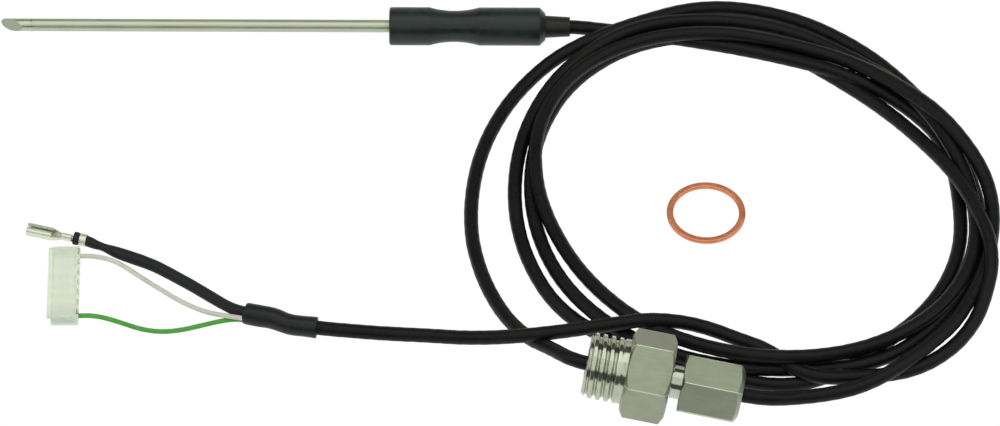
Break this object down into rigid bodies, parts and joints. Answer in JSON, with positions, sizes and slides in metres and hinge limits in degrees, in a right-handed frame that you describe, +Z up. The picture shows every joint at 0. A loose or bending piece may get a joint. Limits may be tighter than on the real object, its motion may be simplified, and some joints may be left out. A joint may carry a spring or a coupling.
{
  "type": "oven core temperature probe",
  "caption": "Pointed steel needle probe with a waisted black grip, coiled cable, screwed cable gland, copper washer and a split tail with a receptacle and a row connector.",
  "frame": {"origin": "on the floor under the middle of the probe, from the needle's point to the boot's end", "axes": "+X along the probe from its point to its cable, +Y away from the coil's gland, +Z up"},
  "size_m": [0.3137, 0.1756, 0.0289],
  "materials": {
    "polished_steel": "polished stainless steel",
    "black_grip": "satin black",
    "boot_rubber": "matt dark brown-black",
    "cable_jacket": "satin black",
    "plated_steel": "machined, plated",
    "seal_rubber": "matt",
    "copper": "worn copper",
    "ceramic": "matt ceramic",
    "thermocouple_alloy": "drawn wire",
    "tinned_brass": "tinned sheet",
    "shrink": "satin black",
    "white_insulation": "satin white",
    "green_insulation": "satin green",
    "milky_nylon": "milky, lets light through"
  },
  "bodies": {
    "probe": {"needle_point": "polished_steel", "needle_tube": "polished_steel", "thermocouple_bead": "thermocouple_alloy", "thermocouple_wire_positive": "thermocouple_alloy", "thermocouple_wire_negative": "thermocouple_alloy", "twin_bore_insulator": "ceramic", "earth_ferrule": "tinned_brass", "wire_splices": "tinned_brass", "handle_grip": "black_grip", "strain_relief_boot": "boot_rubber", "cable_lead": "cable_jacket", "cable_coil": "cable_jacket", "cable_gland_run": "cable_jacket", "cable_tail": "cable_jacket", "gland_body": "plated_steel", "gland_seal": "seal_rubber", "copper_washer": "copper", "shrink_tube": "shrink", "earth_sleeve": "cable_jacket", "earth_strand": "copper", "white_lead": "white_insulation", "green_lead": "green_insulation", "blade_receptacle": "tinned_brass", "connector_housing": "milky_nylon", "contact_white": "tinned_brass", "contact_green": "tinned_brass"},
    "thrust_ring": {"gland_thrust_ring": "plated_steel"},
    "nut": {"gland_nut": "plated_steel"}
  },
  "joints": [
    {"name": "thrust_ring_slide", "type": "slide", "parent": "probe", "child": "thrust_ring", "axis": [0.9813, -0.1442, -0.1274], "range_m": [0, 0.003]},
    {"name": "nut_turn", "type": "hinge", "parent": "thrust_ring", "child": "nut", "pos_m": [0.13315, -0.15126, 0.01176], "axis": [0.9813, -0.1442, -0.1274], "range_deg": [0, 1080]}
  ],
  "couplings": [
    {"joint": "nut_turn", "follows": "thrust_ring_slide", "rad_per_m": 6283.2}
  ]
}
